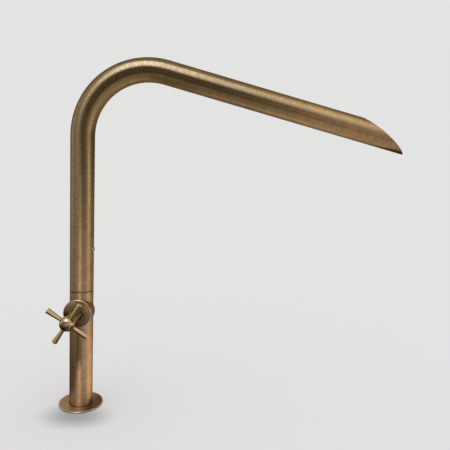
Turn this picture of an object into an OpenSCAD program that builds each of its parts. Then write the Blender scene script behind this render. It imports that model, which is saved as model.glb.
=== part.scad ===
// Deck-mounted garden tap with a tall swinging spout and a cross handle.
// Origin: centre of the base flange's underside. +Z is up the column, +X is the
// way the spout reaches at rest, and the valve with its handle points along -Y.

/* [Tube] */
// Outside diameter of the column and of the spout
tube_d = 28; // [26:0.5:32]
// Wall thickness of the column and of the spout
tube_wall = 1.5; // [1:0.1:2]

/* [Base] */
// Diameter of the round base flange
flange_d = 53; // [50:1:70]
// Thickness of the base flange
flange_t = 1.8; // [1.6:0.1:4]
// Width of the flat gasket under the flange
gasket_w = 4; // [2:0.5:5]
// Thickness of the flat gasket
gasket_t = 1; // [0.6:0.1:1.2]
// Height of the solid plug in the foot of the column
plug_h = 20; // [18:1:30]

/* [Connections] */
// Bore of the water inlet tapping, M10 x 1
inlet_d = 9; // [8:0.1:9.4]
// Depth of the water inlet tapping
inlet_depth = 12; // [8:0.5:12]
// Bore of the fixing stud tapping, M8
stud_d = 6.8; // [5:0.1:7]
// Depth of the fixing stud tapping
stud_depth = 14; // [8:0.5:15]
// How far the inlet lies behind the column's axis
inlet_back = 5.4; // [5.2:0.1:5.6]
// How far the fixing stud lies in front of the column's axis
stud_front = 5.6; // [5.2:0.1:6]

/* [Column] */
// Height of the valve axis above the flange
valve_h = 120; // [80:0.5:160]
// Height of the swivel joint above the valve axis
joint_rise = 24.7; // [22:0.1:60]
// Outside diameter of the riser pipe inside the column
riser_d = 10; // [8:0.5:10]
// Wall of the riser pipe
riser_wall = 1; // [0.6:0.1:1.4]

/* [Valve] */
// Diameter of the collar and of the cap in front of it
collar_d = 33.8; // [32:0.2:40]
// Distance from the column's axis to the collar's back edge
collar_back = 2; // [1:0.5:5]
// Diameter of the cartridge thread in the valve block
cartridge_d = 17; // [16.6:0.2:18]
// Diameter of the two ceramic discs
disc_d = 13.2; // [12.6:0.1:13.2]
// Thickness of each ceramic disc
disc_t = 2.5; // [2:0.1:3]
// Diameter of the spindle
spindle_d = 8.2; // [7.6:0.1:8.4]
// Width across the flats of the cartridge hexagon
hex_af = 17; // [16.6:0.2:18]

/* [Handle] */
// Distance from the column's axis to the middle of the cross
cross_out = 53; // [50:0.5:65]
// Diameter of the ball at the middle of the cross
ball_d = 17.4; // [17:0.1:20]
// Length of an arm, from the valve axis to its flat end
arm_len = 26.8; // [20:0.1:40]
// Diameter of an arm where it leaves the ball
arm_root_d = 4.3; // [4:0.1:5]
// Diameter of an arm at its flat end
arm_tip_d = 6.4; // [4.4:0.1:7]
// Angle of the first arm above the horizontal, when the valve is shut
arm_turn = 32.8; // [0:0.1:89]
// Diameter of the neck where it enters the cap
neck_d = 15.2; // [14.8:0.1:15.6]
// Diameter of the neck at its waist
waist_d = 12.8; // [12.4:0.1:14]
// Diameter of the index cap on the front of the ball
index_d = 11; // [9.4:0.1:11.6]

/* [Spout] */
// Height of the spout's straight rise, from the swivel joint to the bend
rise_h = 185.5; // [120:0.5:260]
// Radius of the bend, at the tube's centre line
bend_r = 78.5; // [50:0.5:110]
// Angle through which the bend turns
bend_turn = 103.4; // [90:0.1:120]
// Straight run from the bend to the lower lip of the mouth
spout_run = 290.2; // [150:0.1:400]
// Angle between the cut of the mouth and the tube
mouth_angle = 25.4; // [20:0.1:90]
// How far the cut of the mouth bulges from a straight line, seen from the side
mouth_bulge = 2.4; // [0.5:0.1:4]

/* [Swivel] */
// Wall of the bush that turns on the nipple inside the spout's foot
bush_wall = 1.95; // [1.8:0.05:2.5]
// Bore of the nipple
nipple_bore = 14; // [10:0.5:15]
// Height of the spout's retaining screw above the swivel joint
screw_h = 51; // [40:0.5:90]
// Running clearance between turning surfaces, on the radius
run_clear = 0.05; // [0.02:0.01:0.09]
// Gap between the column's rim and the spout's rim
joint_gap = 0.4; // [0.2:0.1:0.6]

/* [Hidden] */
$fn = 96;
eps = 0.01;

// Tube and base
tube_r = tube_d / 2;
bore_r = tube_r - tube_wall;
flange_r = flange_d / 2;
flange_edge = 0.4;
spigot_r = bore_r - 1.3;
seat_clear = 0.2;
gasket_r = (tube_r + flange_r) / 2;
foot_edge = 0.5;
rim_edge = 0.3;

// Riser pipe and its sockets
riser_r = riser_d / 2;
riser_bore_r = riser_r - riser_wall;
socket_depth = 5;
plug_top = flange_t + plug_h;

// Heights along the column
valve_z = flange_t + valve_h;
joint_z = valve_z + joint_rise;
block_below = 17.8;
block_above = 17.7;
block_z = valve_z - block_below;
block_top = valve_z + block_above;

// Distances out from the column's axis, along the valve axis
seat_s = -1;
seal_t = 1.5;
fixed_s = seat_s + seal_t;
moving_s = fixed_s + disc_t + run_clear;
shoulder_s = moving_s + disc_t + run_clear;
shoulder_t = 1.8;
washer_s = shoulder_s + shoulder_t + run_clear;
washer_t = 0.8;
cage_end_s = washer_s + washer_t;
collar_s = tube_r + 0.6;
hex_s = collar_s;
hex_t = 3;
sleeve_end_s = hex_s + hex_t + 5.2;
cap_s = collar_s + 0.2;

// Radii of the valve
cartridge_r = cartridge_d / 2;
disc_r = disc_d / 2;
cage_bore_r = disc_r + 0.1;
cage_r = cage_bore_r + 0.7;
spindle_r = spindle_d / 2;
spindle_bore_r = spindle_r + run_clear;
sleeve_r = spindle_bore_r + 1.4;
collar_r = collar_d / 2;
hex_r = hex_af / 2 / cos(30);
collar_spigot_r = collar_r - 2.8;
collar_spigot_h = 1.6;
collar_recess_r = hex_r + 1.2;
port_r = 4;
passage_r = 3.5;
outlet_r = 4;
outlet_front = 5;
seal_in_r = port_r + 0.5;
tang_w = 2.4;
tang_l = 8.6;
tang_clear = 0.1;
tang_h = 1.2;

// The cap's cone
cap_rim_h = 2;
cap_round = 1.2;
cap_wall = 1.3;
cap_cone_h = 3;
neck_r = neck_d / 2;
cap_hole_r = neck_r + 0.5;
cap_face_r = collar_r - cap_round;
cap_face_s = cap_s + cap_rim_h + cap_round;
cap_front_s = cap_face_s + cap_cone_h;

// The handle
neck_s = hex_s + hex_t + 1.2;
waist_s = cross_out - 15;
waist_r = waist_d / 2;
waist_curve = pow(waist_s - neck_s, 2) / (2 * (neck_r - waist_r));
recess_r = neck_r - 1.2;
recess_end_s = sleeve_end_s + 2;
spline_r = 3.4;
spline_end_s = cross_out - 14;
ball_r = ball_d / 2;
index_r = index_d / 2;
head_s = cross_out - 7;
head_r = 3.5;
head_t = 3;
bolt_r = 2;
bolt_start_s = cross_out - 22;
counterbore_r = 3.8;
index_s = cross_out + sqrt(ball_r * ball_r - index_r * index_r);
index_t = 1;
index_dome_h = 1.1;
arm_root_r = arm_root_d / 2;
arm_tip_r = arm_tip_d / 2;
arm_seat = ball_r - 1.2;
arm_pin_r = 1.6;
arm_pin_start = counterbore_r + 0.8;
arm_edge = 0.4;
clip_s = sleeve_end_s + 0.3;
clip_t = 0.8;
clip_r = recess_r - 0.8;
clip_groove_r = spindle_r - 0.8;

// O-rings: groove depths and sections
ring_sec_r = 0.6;
ring_land = 0.05;
spindle_ring_s = [cage_end_s + 2.2, cage_end_s + 5.4];
cartridge_ring_s = cage_end_s + 1.6;

// The swivel
bush_bore_r = bore_r - bush_wall;
nipple_r = bush_bore_r - run_clear;
nipple_bore_r = nipple_bore / 2;
shoulder_z = joint_z - 0.3;
slide_t = 0.8;
slide_gap = 0.05;
bush_z = shoulder_z + slide_t + slide_gap;
spout_z = joint_z + joint_gap;
screw_z = joint_z + screw_h;
nipple_top = screw_z + 7;
bush_top = nipple_top - 1.5;
nipple_ring_z = [joint_z + 10, joint_z + 21];
nipple_sec_r = 0.75;
screw_r = 2;
screw_tip_clear = 0.6;
groove_r = nipple_r - 1.5;
groove_half = screw_r + 0.25;
screw_head_r = 3.6;
screw_spot_r = screw_head_r + 0.1;
screw_seat_x = tube_r - 0.6;
screw_rim_h = 0.7;
screw_dome_h = 1.1;
screw_socket_af = 2.5;
screw_socket_depth = 1.3;

// The spout's path, and how far and by how much its run laps the bend
bend_z = joint_z + rise_h;
run_lap = 0.3;
run_swell = 0.002;
mouth_slant = tube_d / sin(mouth_angle);
mouth_curve = dome_radius(mouth_slant / 2, mouth_bulge);

// Radius of a sphere whose cap has this rim radius and this height
function dome_radius(rim, height) = (rim * rim + height * height) / (2 * height);

// Flat ring lying on z
module ring(outer, inner, z, height) {
    translate([0, 0, z]) difference() {
        cylinder(r = outer, h = height);
        translate([0, 0, -eps]) cylinder(r = inner, h = height + 2 * eps);
    }
}

// Round-section ring whose middle circle lies on z
module o_ring(middle_r, section_r, z) {
    translate([0, 0, z]) rotate_extrude() translate([middle_r, 0]) circle(r = section_r, $fn = 32);
}

// Puts what is drawn along +Z onto the valve axis, pointing away from the column
module on_valve_axis() {
    translate([0, 0, valve_z]) rotate([90, 0, 0]) children();
}

// Spherical cap of the given rim radius, standing on z
module dome(rim, height, z) {
    ball = dome_radius(rim, height);
    intersection() {
        translate([0, 0, z + height - ball]) sphere(r = ball);
        translate([0, 0, z]) cylinder(r = rim, h = height + 1);
    }
}

module base_flange() {
    color([0.55, 0.43, 0.30]) difference() {
        union() {
            cylinder(r = flange_r, h = flange_t - flange_edge);
            translate([0, 0, flange_t - flange_edge])
                cylinder(r1 = flange_r, r2 = flange_r - flange_edge, h = flange_edge);
        }
        translate([0, 0, -1]) cylinder(r = spigot_r + seat_clear, h = flange_t + 2);
        ring(gasket_r + gasket_w / 2, gasket_r - gasket_w / 2, -1, gasket_t + 1);
    }
}

module base_gasket() {
    color([0.1, 0.1, 0.1]) ring(gasket_r + gasket_w / 2 - 0.05, gasket_r - gasket_w / 2 + 0.05, 0, gasket_t);
}

module base_plug() {
    color([0.72, 0.58, 0.33]) difference() {
        union() {
            cylinder(r = spigot_r, h = flange_t + 1);
            translate([0, 0, flange_t]) cylinder(r = bore_r, h = plug_h);
        }
        translate([0, inlet_back, -1]) cylinder(r = inlet_d / 2, h = inlet_depth + 1);
        translate([0, inlet_back, 0]) cylinder(r = riser_bore_r, h = plug_top + 1);
        translate([0, inlet_back, plug_top - socket_depth]) cylinder(r = riser_r, h = socket_depth + 1);
        translate([0, -stud_front, -1]) cylinder(r = stud_d / 2, h = stud_depth + 1);
    }
}

module body_column() {
    color([0.64, 0.50, 0.36]) difference() {
        rotate_extrude() polygon([
            [bore_r, flange_t], [tube_r - foot_edge, flange_t], [tube_r, flange_t + foot_edge],
            [tube_r, joint_z - rim_edge], [tube_r - rim_edge, joint_z], [bore_r, joint_z]]);
        on_valve_axis() cylinder(r = cartridge_r, h = tube_r + 1);
    }
}

module riser_pipe() {
    color([0.72, 0.45, 0.30]) translate([0, inlet_back, 0])
        ring(riser_r, riser_bore_r, plug_top - socket_depth, block_z - plug_top + 2 * socket_depth);
}

module valve_block() {
    color([0.72, 0.58, 0.33]) difference() {
        translate([0, 0, block_z]) cylinder(r = bore_r, h = block_top - block_z);
        on_valve_axis() translate([0, 0, seat_s]) cylinder(r = cartridge_r, h = tube_r + 2);
        on_valve_axis() translate([0, 0, -inlet_back - port_r]) cylinder(r = port_r, h = inlet_back + port_r);
        translate([0, inlet_back, block_z - 1]) cylinder(r = passage_r, h = block_below + 1);
        translate([0, inlet_back, block_z - 1]) cylinder(r = riser_r, h = socket_depth + 1);
        translate([0, -outlet_front, valve_z]) cylinder(r = outlet_r, h = block_above + 1);
    }
}

// Boss brazed round the front of the column, saddle-cut to sit on the tube
module valve_collar() {
    color([0.60, 0.47, 0.31]) difference() {
        on_valve_axis() union() {
            translate([0, 0, collar_back]) cylinder(r = collar_r, h = collar_s - collar_back - foot_edge);
            translate([0, 0, collar_s - foot_edge])
                cylinder(r1 = collar_r, r2 = collar_r - foot_edge, h = foot_edge);
            ring(collar_spigot_r, collar_recess_r, collar_s - 0.1, collar_spigot_h + 0.1);
        }
        translate([0, 0, valve_z - collar_r - 1]) cylinder(r = tube_r, h = 2 * collar_r + 2);
        on_valve_axis() cylinder(r = cartridge_r, h = collar_s + 1);
    }
}

// Round shroud that hides the hexagon, with a rounded rim and a shallow conical face
module bonnet_cap() {
    rim_arc = [for (a = [0 : 15 : 90]) [
        cap_face_r + cap_round * cos(a), cap_face_s - cap_round + cap_round * sin(a)]];
    slope = cap_cone_h / (cap_face_r - cap_hole_r);
    inner_edge = [collar_spigot_r, cap_s + collar_spigot_h];
    color([0.50, 0.41, 0.29]) on_valve_axis() rotate_extrude() polygon(concat(
        [[collar_spigot_r, cap_s], [collar_r - foot_edge, cap_s], [collar_r, cap_s + foot_edge]],
        rim_arc,
        [[cap_hole_r, cap_front_s], [cap_hole_r, cap_front_s - cap_wall],
        [collar_spigot_r, cap_front_s - cap_wall - slope * (collar_spigot_r - cap_hole_r)],
        inner_edge]));
}

module cartridge_body() {
    color([0.75, 0.60, 0.34]) on_valve_axis() difference() {
        union() {
            translate([0, 0, fixed_s]) cylinder(r = cage_r, h = cage_end_s - fixed_s + 1);
            translate([0, 0, cage_end_s]) cylinder(r = cartridge_r, h = hex_s - cage_end_s);
            translate([0, 0, hex_s]) cylinder(r = hex_r, h = hex_t, $fn = 6);
            translate([0, 0, hex_s]) cylinder(r = sleeve_r, h = sleeve_end_s - hex_s);
        }
        translate([0, 0, fixed_s - 1]) cylinder(r = cage_bore_r, h = cage_end_s - fixed_s + 1);
        translate([0, 0, fixed_s]) cylinder(r = spindle_bore_r, h = sleeve_end_s);
        // Two side windows let the water out of the cage
        translate([-disc_r / 2, -cage_r - 1, moving_s + 0.3])
            cube([disc_r, 2 * cage_r + 2, disc_t + shoulder_t - 0.6]);
        ring(cartridge_r + 1, cartridge_r - 2 * ring_sec_r - ring_land,
            cartridge_ring_s - ring_sec_r - ring_land, 2 * (ring_sec_r + ring_land));
    }
}

module seat_seal() {
    color([0.1, 0.1, 0.1]) on_valve_axis() ring(disc_r, seal_in_r, seat_s, seal_t);
}

// The port in the fixed disc is a half circle that the moving disc covers or clears
module fixed_disc() {
    color([0.93, 0.92, 0.88]) on_valve_axis() difference() {
        translate([0, 0, fixed_s]) cylinder(r = disc_r, h = disc_t);
        intersection() {
            translate([0, 0, fixed_s - 1]) cylinder(r = seal_in_r, h = disc_t + 2);
            translate([0.6, -disc_r, fixed_s - 1]) cube([disc_r, 2 * disc_r, disc_t + 2]);
        }
    }
}

module cartridge_o_ring() {
    color([0.1, 0.1, 0.1]) on_valve_axis()
        o_ring(cartridge_r - ring_sec_r - ring_land, ring_sec_r, cartridge_ring_s);
}

module thrust_washer() {
    color([0.9, 0.9, 0.88]) on_valve_axis()
        ring(cage_bore_r, spindle_bore_r, washer_s, cage_end_s - washer_s);
}

module swivel_nipple() {
    color([0.72, 0.58, 0.33]) difference() {
        union() {
            translate([0, 0, block_top]) cylinder(r = bore_r, h = shoulder_z - block_top);
            translate([0, 0, block_top]) cylinder(r = nipple_r, h = nipple_top - block_top);
        }
        translate([0, 0, block_top - 1]) cylinder(r = nipple_bore_r, h = nipple_top - block_top + 2);
        translate([0, 0, block_top - 1]) cylinder(r = outlet_front + outlet_r, h = 3);
        for (z = nipple_ring_z)
            ring(nipple_r + 1, nipple_r - 2 * nipple_sec_r - ring_land,
                z - nipple_sec_r - ring_land, 2 * (nipple_sec_r + ring_land));
        ring(nipple_r + 1, groove_r, screw_z - groove_half, 2 * groove_half);
    }
}

module nipple_o_rings() {
    color([0.1, 0.1, 0.1]) for (z = nipple_ring_z)
        o_ring(nipple_r - nipple_sec_r - ring_land, nipple_sec_r, z);
}

module slide_ring() {
    color([0.9, 0.9, 0.88]) ring(bore_r, bush_bore_r, shoulder_z, slide_t);
}

module spindle() {
    color([0.75, 0.60, 0.34]) on_valve_axis() difference() {
        union() {
            translate([-tang_l / 2, -tang_w / 2, shoulder_s - tang_h])
                cube([tang_l, tang_w, tang_h + 0.5]);
            translate([0, 0, shoulder_s]) cylinder(r = disc_r, h = shoulder_t);
            translate([0, 0, shoulder_s]) cylinder(r = spindle_r, h = recess_end_s - shoulder_s);
            translate([0, 0, shoulder_s]) cylinder(r = spline_r, h = spline_end_s - shoulder_s);
        }
        for (s = spindle_ring_s)
            ring(spindle_r + 1, spindle_r - 2 * ring_sec_r - ring_land,
                s - ring_sec_r - ring_land, 2 * (ring_sec_r + ring_land));
        ring(spindle_r + 1, clip_groove_r, clip_s, clip_t);
        translate([0, 0, bolt_start_s]) cylinder(r = bolt_r, h = cross_out);
    }
}

// Disc that turns with the spindle: half of it is cut away, and a slot takes the tang
module moving_disc() {
    color([0.93, 0.92, 0.88]) on_valve_axis() difference() {
        translate([0, 0, moving_s]) cylinder(r = disc_r, h = disc_t);
        translate([-tang_l / 2 - tang_clear, -tang_w / 2 - tang_clear, shoulder_s - tang_h - tang_clear])
            cube([tang_l + 2 * tang_clear, tang_w + 2 * tang_clear, tang_h + 1]);
        translate([-tang_l / 4, tang_w, moving_s - 1]) cube([tang_l / 2, disc_r, disc_t + 2]);
    }
}

module spindle_o_rings() {
    color([0.1, 0.1, 0.1]) on_valve_axis() for (s = spindle_ring_s)
        o_ring(spindle_r - ring_sec_r - ring_land, ring_sec_r, s);
}

module circlip() {
    clip_gap = 2.4;
    color([0.6, 0.6, 0.6]) on_valve_axis() difference() {
        ring(clip_r, clip_groove_r, clip_s, clip_t);
        translate([-clip_gap / 2, 0, clip_s - 1]) cube([clip_gap, clip_r + 1, clip_t + 2]);
    }
}

module handle_hub() {
    color([0.66, 0.52, 0.30]) on_valve_axis() difference() {
        union() {
            rotate_extrude() difference() {
                translate([0, neck_s]) square([neck_r, cross_out - neck_s]);
                translate([waist_r + waist_curve, waist_s]) circle(r = waist_curve, $fn = 360);
            }
            translate([0, 0, cross_out]) sphere(r = ball_r);
        }
        translate([0, 0, neck_s - 1]) cylinder(r = recess_r, h = recess_end_s - neck_s + 1);
        translate([0, 0, neck_s]) cylinder(r = spline_r, h = spline_end_s - neck_s);
        translate([0, 0, neck_s]) cylinder(r = bolt_r, h = cross_out - neck_s);
        translate([0, 0, head_s]) cylinder(r = counterbore_r, h = ball_d);
        translate([0, 0, index_s]) cylinder(r = index_r, h = ball_r);
        for (k = [0 : 3]) arm_place(k) {
            translate([0, 0, arm_seat]) cylinder(r = arm_root_r, h = ball_r);
            translate([0, 0, arm_pin_start]) cylinder(r = arm_pin_r, h = ball_r);
        }
    }
}

// Turns what is drawn along +Z to point along the given arm of the cross
module arm_place(k) {
    translate([0, 0, cross_out]) rotate([0, 0, 180 - arm_turn + 90 * k]) rotate([0, 90, 0]) children();
}

// One arm: a pin in the ball, then a rod that widens to a flat end
module handle_arm(k) {
    color([0.66, 0.52, 0.30]) on_valve_axis() arm_place(k) {
        translate([0, 0, arm_pin_start]) cylinder(r = arm_pin_r, h = arm_seat - arm_pin_start + 1);
        translate([0, 0, arm_seat]) cylinder(r = arm_root_r, h = ball_r - arm_seat);
        translate([0, 0, ball_r])
            cylinder(r1 = arm_root_r, r2 = arm_tip_r, h = arm_len - arm_edge - ball_r);
        translate([0, 0, arm_len - arm_edge]) cylinder(r1 = arm_tip_r, r2 = arm_tip_r - arm_edge, h = arm_edge);
    }
}

module handle_screw() {
    color([0.6, 0.6, 0.6]) on_valve_axis() difference() {
        union() {
            translate([0, 0, bolt_start_s]) cylinder(r = bolt_r, h = head_s - bolt_start_s + 1);
            translate([0, 0, head_s]) cylinder(r = head_r, h = head_t);
        }
        translate([0, 0, head_s + head_t - 1.6]) cylinder(r = 1.75, h = 2, $fn = 6);
    }
}

module index_cap() {
    plug_l = 3;
    color([0.52, 0.41, 0.24]) on_valve_axis() {
        translate([0, 0, index_s - plug_l]) cylinder(r = counterbore_r, h = plug_l + eps);
        translate([0, 0, index_s]) cylinder(r = index_r, h = index_t);
        dome(index_r, index_dome_h, index_s + index_t);
    }
}

module tube_section(swell = 0) {
    difference() {
        circle(r = tube_r + swell);
        circle(r = bore_r - swell);
    }
}

// Puts the middle of the bend on the local Z axis, with the tube's start at angle 0
module in_bend() {
    translate([bend_r, 0, bend_z]) rotate([90, 0, 180]) children();
}

// Puts local Z along the sloping run, from where it leaves the bend, with local X upwards
module along_run() {
    rotate([0, 0, bend_turn]) translate([bend_r, 0, 0]) rotate([-90, 0, 0]) children();
}

// Takes off what lies past the mouth's cut, with local X out of the mouth, local Z down
// its slant and the lower lip at the origin
module mouth_cutter() {
    size = 2 * spout_run;
    difference() {
        translate([-tube_r / 2, -tube_d, -size / 2]) cube([size, 2 * tube_d, size]);
        translate([mouth_bulge - mouth_curve, 0, -mouth_slant / 2]) rotate([90, 0, 0])
            cylinder(r = mouth_curve, h = 5 * tube_d, center = true);
    }
}

// One bent tube: straight rise, bend and sloping run, cut off at a slant at the mouth.
// The run laps the end of the bend by a hair, so that the two are one solid.
module spout_tube() {
    color([0.60, 0.47, 0.29]) difference() {
        in_bend() difference() {
            union() {
                translate([bend_r, 0, 0]) rotate([90, 0, 0]) linear_extrude(bend_z - spout_z) tube_section();
                rotate_extrude(angle = bend_turn) translate([bend_r, 0]) tube_section();
                along_run() translate([0, 0, -run_lap]) linear_extrude(spout_run + run_lap)
                    tube_section(run_swell);
            }
            along_run() translate([-tube_r, 0, spout_run]) rotate([0, -mouth_angle, 0]) mouth_cutter();
        }
        translate([tube_r / 2, 0, screw_z]) rotate([0, 90, 0]) cylinder(r = screw_r, h = tube_r);
        translate([screw_seat_x, 0, screw_z]) rotate([0, 90, 0]) cylinder(r = screw_spot_r, h = tube_r);
    }
}

module spout_bush() {
    color([0.72, 0.58, 0.33]) difference() {
        ring(bore_r, bush_bore_r, bush_z, bush_top - bush_z);
        translate([0, 0, screw_z]) rotate([0, 90, 0]) cylinder(r = screw_r, h = tube_r);
    }
}

// Button-head screw whose tip runs in the nipple's groove and keeps the spout from lifting
module spout_screw() {
    color([0.58, 0.46, 0.28]) translate([0, 0, screw_z]) rotate([0, 90, 0]) difference() {
        union() {
            translate([0, 0, groove_r + screw_tip_clear])
                cylinder(r = screw_r, h = screw_seat_x - groove_r - screw_tip_clear + eps);
            translate([0, 0, screw_seat_x]) cylinder(r = screw_head_r, h = screw_rim_h);
            dome(screw_head_r, screw_dome_h, screw_seat_x + screw_rim_h);
        }
        translate([0, 0, screw_seat_x + screw_rim_h + screw_dome_h - screw_socket_depth])
            cylinder(r = screw_socket_af / 2 / cos(30), h = 2 * screw_socket_depth, $fn = 6);
    }
}

base_flange();
base_gasket();
base_plug();
body_column();
riser_pipe();
valve_block();
valve_collar();
bonnet_cap();
cartridge_body();
seat_seal();
fixed_disc();
cartridge_o_ring();
thrust_washer();
swivel_nipple();
nipple_o_rings();
slide_ring();
spindle();
moving_disc();
spindle_o_rings();
circlip();
handle_hub();
handle_arm(0);  // handle_arm_1
handle_arm(1);  // handle_arm_2
handle_arm(2);  // handle_arm_3
handle_arm(3);  // handle_arm_4
handle_screw();
index_cap();
spout_tube();
spout_bush();
spout_screw();
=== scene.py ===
"""Studio scene of a deck-mounted garden tap in aged brass.

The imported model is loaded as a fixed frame. The outer pieces are modelled again with
smooth surfaces, softened rims and a brushing that follows each surface, and the inner
pieces get their own finishes. Lengths are in metres.
"""

import math

import bmesh
import bpy
from bpy.props import FloatProperty, FloatVectorProperty, PointerProperty
from bpy.types import Operator, Panel, PropertyGroup
from mathutils import Matrix, Vector


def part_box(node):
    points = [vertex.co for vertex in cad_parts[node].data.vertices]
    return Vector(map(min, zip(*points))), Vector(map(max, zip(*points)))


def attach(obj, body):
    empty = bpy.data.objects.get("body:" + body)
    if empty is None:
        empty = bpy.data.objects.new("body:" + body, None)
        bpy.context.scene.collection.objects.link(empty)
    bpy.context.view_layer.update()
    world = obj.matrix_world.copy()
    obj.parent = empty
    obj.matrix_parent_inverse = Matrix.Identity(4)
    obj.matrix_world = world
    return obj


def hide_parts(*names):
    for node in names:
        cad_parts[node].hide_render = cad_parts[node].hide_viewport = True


bl_info = {
    "name": "Garden tap",
    "version": (1, 0, 0),
    "blender": (4, 5, 0),
    "location": "View3D > Sidebar > Garden tap",
    "description": "Dresses a garden tap's frame in aged brass and sets it in a pale studio",
    "category": "Object",
}

MM = 0.001
QUARTER = math.pi / 2

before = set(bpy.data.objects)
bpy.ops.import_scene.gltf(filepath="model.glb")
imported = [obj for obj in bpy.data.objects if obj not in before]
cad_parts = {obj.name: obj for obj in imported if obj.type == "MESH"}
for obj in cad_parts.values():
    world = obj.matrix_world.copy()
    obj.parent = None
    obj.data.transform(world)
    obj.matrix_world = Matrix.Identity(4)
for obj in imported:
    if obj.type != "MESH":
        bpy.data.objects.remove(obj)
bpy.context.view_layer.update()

# Segments round a tube or a turned piece, along the bend and across a softened rim
ROUND_STEPS = 128
BEND_STEPS = 56
RIM_STEPS = 3
# Steps along the arcs of the valve cap's rim, the neck, the ball and the index cap's dome
CAP_STEPS = 8
NECK_STEPS = 12
BALL_STEPS = 26
DOME_STEPS = 10
# Angle past which an edge is shaded sharp, and past which an edge of the spout is a rim
SHARP_ANGLE = math.radians(38)
RIM_ANGLE = math.radians(25)
# How much faster the ring coordinate runs outwards than along the axis
RING_REACH = 1.7
# Points closer than this are one, and a point this close to a corner is on it
WELD = 1e-6
CORNER_REACH = 4 * WELD

# Widths of the softened edges of the flange's top, the arms' ends and the index cap
FLANGE_RIM = 0.45 * MM
ARM_RIM = 0.4 * MM
INDEX_RIM = 0.35 * MM
# How far the valve cap's spigot is set in from its rim, and how worn the rim's rounding is,
# which lightens it as partly wear and partly painted highlight
SPIGOT_STEP = 2.8 * MM
CAP_WEAR_AND_HIGHLIGHT = 0.55
# Wall and depth of the hollow at the back of the handle's neck
NECK_WALL = 1.2 * MM
HOLLOW_DEPTH = 8 * MM
# What is left between neck and ball for one ring of faces, as a length and as an angle
NECK_GAP = 0.2 * MM
BALL_GAP = 0.02
# How deep an arm sits in the ball
ARM_SEAT = 1.2 * MM
# Rise of the index cap's dome, and radius of the plug behind it
DOME_RISE = 1.1 * MM
PLUG_RADIUS = 3.8 * MM

# Size of the floor, and level of the even light, at which the floor shows its colour
FLOOR_RADIUS = 40
FILL_LEVEL = 0.93
# Middle and reach of the soft shade on the floor in front of the foot
SHADE_CENTRE = (0.004, -0.032, 0)
SHADE_REACH = (0.055, 0.036, 1)
# Colours of the lamps, and colour and strength of the light card
PLAIN_LIGHT = (1.0, 1.0, 0.98)
COOL_LIGHT = (0.78, 1.0, 1.42)
LIGHT_CARD = (1.0, 0.92, 0.82)
LIGHT_CARD_LEVEL = 1.45
# Lamps: name, place, size, what each points at, colour, and spread in degrees
LAMPS = (
    ("key", (0.0, -1.25, 0.02), (0.60, 0.14), (0, 0, 0.02), PLAIN_LIGHT, 36),
    ("top", (-0.17, -0.56, 1.15), (0.80, 0.84), (-0.05, 0, 0.37), COOL_LIGHT, 180),
    ("far", (0.60, -0.25, 1.00), (0.8, 0.6), (0.45, 0, 0.34), PLAIN_LIGHT, 180),
    ("side", (-1.2, 0.10, 0.40), (0.4, 0.9), (0, 0, 0.2), COOL_LIGHT, 180),
    ("right", (1.2, -0.15, 0.12), (0.7, 0.5), (0, 0, 0.15), PLAIN_LIGHT, 180),
)
# Cards: name, lowest corner, highest corner, and whether it is dark
CARDS = (
    ("front_card", (-0.25, -2.2, 0.002), (0.60, -0.70, 0.002), True),
    ("wall_card", (-0.50, -2.2, 0.30), (0.64, -2.2, 0.90), True),
    ("high_card", (-0.90, -2.2, 0.90), (0.55, -2.2, 1.90), True),
    ("left_card", (-0.5, -0.28, 0.002), (-0.035, 0.3, 0.002), True),
    ("right_card", (0.035, -0.02, 0.002), (0.25, 0.15, 0.002), False),
    ("end_card", (1.0, -0.1, 0.27), (1.0, 2.0, 1.5), True),
)

UV_NAME = "Rings"
# Mark of the rubbed rims, lighter as partly wear and partly painted highlight
WORN_HIGHLIGHT_NAME = "worn"


def half_width(node, axis):
    """Half of a node's size along an axis."""
    low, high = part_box(node)
    return (high[axis] - low[axis]) / 2


def top_of(node):
    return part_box(node)[1].z


def front_of(node):
    """Furthest reach of a node along the valve axis, which points along -Y."""
    return -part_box(node)[0].y


def back_of(node):
    return -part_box(node)[1].y


TUBE_RADIUS = half_width("spout_tube", 1)
BORE_RADIUS = half_width("spout_bush", 1)
BALL_RADIUS = half_width("handle_hub", 2)
VALVE_HEIGHT = sum(corner.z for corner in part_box("bonnet_cap")) / 2
VALVE_PLACE = Matrix.Translation((0, 0, VALVE_HEIGHT)) @ Matrix.Rotation(QUARTER, 4, "X")
FLANGE_TOP = top_of("base_flange")
CROSS_OUT = (back_of("handle_arm_1") + front_of("handle_arm_1")) / 2
JOINT_HEIGHT = (top_of("body_column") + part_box("spout_tube")[0].z) / 2

# The ramps below are where a change starts and ends, and its values there if not 0 and 1.
# Height at which copper turns to gold, and reach along the spout at which gold warms; both
# changes are partly tone and partly painted reflection
COPPER_AND_REFLECTION_FADE = (0.05, 0.28)
WARM_AND_REFLECTION_REACH = (0.18, 0.30)
# Painted shade on the spout's underside at the mouth, by length along the spout: its strength,
# and the turns between which it grows
UNDERSIDE_SHADE_STRENGTH = (0.635, 0.785, 0.0, 0.95)
UNDERSIDE_SHADE_EDGE = (0.735, 0.785, 0.465, 0.355)
UNDERSIDE_SHADE_INNER = (0.735, 0.785, 0.485, 0.430)
# Painted dark reflection, a band along the spout's sides, by length along the spout: the turn
# of its middle, how it comes in and goes out, and how it fades away from its middle in turns
SIDE_MIDDLE = (0.28, 0.44, 0.308, 0.284)
SIDE_BEGUN = (0.20, 0.36, 0.0, 0.78)
SIDE_FADING = (0.50, 0.74, 1.0, 0.15)
SIDE_WIDTH = (0.014, 0.074, 1.0, 0.0)
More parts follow.
